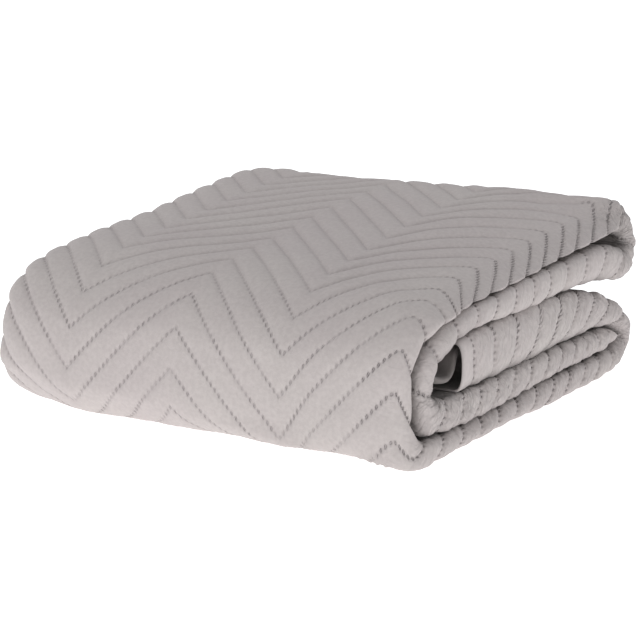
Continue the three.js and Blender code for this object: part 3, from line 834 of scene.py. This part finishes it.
def quilted_cloth(name, base, warm, dark):
    m = Nodes(name)
    out = m.add("ShaderNodeOutputMaterial")
    bsdf = m.add("ShaderNodeBsdfPrincipled")
    m.link(bsdf.outputs[0], out.inputs["Surface"])
    coords = m.add("ShaderNodeTexCoord").outputs["Object"]

    attr = m.add("ShaderNodeAttribute")
    attr.attribute_name = "stitch"
    sep = m.add("ShaderNodeSeparateXYZ")
    m.link(attr.outputs["Vector"], sep.inputs[0])
    u, v, cross = sep.outputs

    # distance across the seam and along it, in millimetres
    nearest = m.math("ROUND", v)
    across = m.math("MULTIPLY", m.math("ABSOLUTE", m.math("SUBTRACT", v, nearest)), cross)
    phase = m.math("ADD", u, m.math("MULTIPLY", nearest, 0.37))
    beside = m.math("MULTIPLY", m.math("SUBTRACT", m.math("FRACT", phase), 0.5), STITCH)
    # per point: seam dot strength, painted shade amount and top mask
    seam = m.add("ShaderNodeAttribute")
    seam.attribute_name = "seam_and_shade"
    split = m.add("ShaderNodeSeparateXYZ")
    m.link(seam.outputs["Vector"], split.inputs[0])
    strength, hollow, on_top_ = split.outputs
    place = m.add("ShaderNodeAttribute")
    place.attribute_name = "band"
    parts_ = m.add("ShaderNodeSeparateXYZ")
    m.link(place.outputs["Vector"], parts_.inputs[0])
    run_at, edge_at, gather = parts_.outputs

    def folds(scale_run, scale_edge, lean_, shift):
        """Narrow creases across the band, gathered by the seams."""
        both = m.add("ShaderNodeCombineXYZ")
        m.link(m.math("ADD", m.math("MULTIPLY", m.math("ADD", run_at, m.math("MULTIPLY", edge_at, lean_)), 1 / scale_run), shift),
               both.inputs[0])
        m.link(m.math("MULTIPLY", edge_at, 1 / scale_edge), both.inputs[1])
        n_ = m.math("ABSOLUTE", m.math("SUBTRACT", m.noise(both.outputs[0], 1.0, 1.5, 0.45), 0.5))
        return m.ramp(n_, 0.0, 0.13)

    crease_a = folds(9.0, 26.0, -0.35, 3.0)
    crease_b = folds(4.6, 15.0, 0.3, 11.0)
    distance = m.math("SQRT", m.math("ADD", m.math("POWER", m.math("MULTIPLY", across, 0.92), 2.0),
                                     m.math("POWER", beside, 2.0)))
    dot = m.ramp(distance, 0.75, 2.0, 1.0, 0.0)
    pucker = m.ramp(distance, 0.8, 4.2, 1.0, 0.0)
    line = m.ramp(across, 0.2, 1.6, 1.0, 0.0)
    valley = m.ramp(across, 0.0, 5.0, 1.0, 0.0)
    patchy = m.ramp(m.noise(coords, 38.0, 2.0), 0.34, 0.6, 0.4, 1.0)
    dot = m.math("MULTIPLY", m.math("MULTIPLY", dot, patchy), strength)
    pucker = m.math("MULTIPLY", pucker, strength)

    cloudy = m.ramp(m.noise(coords, 9.0, 3.0), 0.32, 0.68)
    grain = m.noise(coords, 900.0, 3.0, 0.6)
    nap = m.noise(coords, 240.0, 3.0, 0.55)
    colour = m.mix(cloudy, base, warm)
    colour = m.mix(m.math("MULTIPLY", m.ramp(nap, 0.3, 0.7), 0.16), colour, dark)
    # painted shade: the colour is darkened within 5 mm of each seam and along a narrow line in its crease
    colour = m.mix(m.math("MULTIPLY", valley, 0.05), colour, dark)
    colour = m.mix(m.math("MULTIPLY", line, 0.04), colour, dark)
    # painted shade: the colour is darkened in the valleys of the gathered creases
    crease_shade = m.math("MULTIPLY", m.math("SUBTRACT", 1.0, m.math("MULTIPLY", crease_a, crease_b)), gather)
    colour = m.mix(m.math("MULTIPLY", crease_shade, 0.14, clamp=True), colour, dark)
    colour = m.mix(m.math("MULTIPLY", dot, 0.38), colour, dark)
    # painted shade: hollows and crevices between the layers are darkened nearly to black
    colour = m.mix(m.math("MULTIPLY", hollow, 0.78), colour, (0.085, 0.074, 0.068))
    m.link(colour, bsdf.inputs["Base Color"])
    rough = m.ramp(nap, 0.25, 0.75, 0.84, 0.95)
    m.link(rough, bsdf.inputs["Roughness"])
    bsdf.inputs["Specular IOR Level"].default_value = 0.22
    bsdf.inputs["Sheen Weight"].default_value = 0.18
    bsdf.inputs["Sheen Roughness"].default_value = 0.55
    bsdf.inputs["Sheen Tint"].default_value = (0.95, 0.93, 0.93, 1.0)

    n1 = m.bump(m.math("SUBTRACT", 1.0, dot), 0.0006)
    n2 = m.bump(m.math("SUBTRACT", 1.0, pucker), 0.0004, 1.0, n1)
    n3 = m.bump(m.math("SUBTRACT", 1.0, line), 0.0002, 1.0, n2)
    pleats = m.math("MULTIPLY", m.math("ADD", crease_a, m.math("MULTIPLY", crease_b, 0.5)), gather)
    n3 = m.bump(pleats, 0.0008, 1.0, n3)
    n4 = m.bump(m.noise(coords, 130.0, 3.0, 0.5), 0.0007, 0.7, n3)
    n5 = m.bump(grain, 0.00025, 0.6, n4)
    m.link(n5, bsdf.inputs["Normal"])
    return m.material


fabric = quilted_cloth("quilted_cloth", (0.505, 0.458, 0.448), (0.520, 0.478, 0.462), (0.235, 0.205, 0.205))
cloth.data.materials.append(fabric)
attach(cloth, "root")
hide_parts("coverlet")

# ---------------------------------------------------------------------------
# Floor, light and camera
# ---------------------------------------------------------------------------
floor = make_mesh("floor", [(-14, -14, 0), (14, -14, 0), (14, 14, 0), (-14, 14, 0)], [(0, 1, 2, 3)], smooth=False)
fm = Nodes("pale_floor")
f_out = fm.add("ShaderNodeOutputMaterial")
f_bsdf = fm.add("ShaderNodeBsdfPrincipled")
fm.link(f_bsdf.outputs[0], f_out.inputs["Surface"])
f_coord = fm.add("ShaderNodeTexCoord").outputs["Object"]
fm.link(fm.mix(fm.noise(f_coord, 3.0, 3.0), (0.80, 0.80, 0.81), (0.83, 0.83, 0.835)), f_bsdf.inputs["Base Color"])
f_bsdf.inputs["Roughness"].default_value = 0.8
f_bsdf.inputs["Specular IOR Level"].default_value = 0.2
f_bsdf.inputs["Emission Color"].default_value = (1.0, 1.0, 1.0, 1.0)
f_bsdf.inputs["Emission Strength"].default_value = 0.78
floor.data.materials.append(fm.material)

world = bpy.data.worlds.new("studio")
bpy.context.scene.world = world
world.use_nodes = True
world.node_tree.nodes["Background"].inputs["Color"].default_value = (0.97, 0.98, 1.0, 1.0)
world.node_tree.nodes["Background"].inputs["Strength"].default_value = 0.50


def softbox(name, place, aim, size_, power):
    data = bpy.data.lights.new(name, "AREA")
    data.shape = "RECTANGLE"
    data.size, data.size_y = size_
    data.energy = power
    ob = bpy.data.objects.new(name, data)
    bpy.context.scene.collection.objects.link(ob)
    ob.location = place
    ob.rotation_mode = "QUATERNION"
    ob.rotation_quaternion = (Vector(aim) - Vector(place)).to_track_quat("-Z", "Y")
    return ob


softbox("key", (-0.9, -3.2, 1.3), (0, 0, 0.08), (1.6, 1.0), 27)
softbox("top", (-1.3, 1.2, 2.6), (0, 0, 0.1), (1.4, 1.4), 16)
softbox("fill", (2.5, -0.7, 0.16), (0.2, 0, 0.05), (1.8, 0.3), 10.5)

AZ, EL = math.radians(29.83), math.radians(12.37)
back = Vector((math.sin(AZ) * math.cos(EL), -math.cos(AZ) * math.cos(EL), math.sin(EL)))
cam_data = bpy.data.cameras.new("camera")
cam_data.lens = 140.6
cam_data.sensor_width = 36.0
cam_data.clip_start, cam_data.clip_end = 0.1, 60
cam = bpy.data.objects.new("camera", cam_data)
bpy.context.scene.collection.objects.link(cam)
cam.location = (1.256, -2.20473, 0.626)
cam.rotation_mode = "QUATERNION"
cam.rotation_quaternion = (-back).to_track_quat("-Z", "Y")
bpy.context.scene.camera = cam
bpy.context.scene.view_settings.view_transform = "Standard"
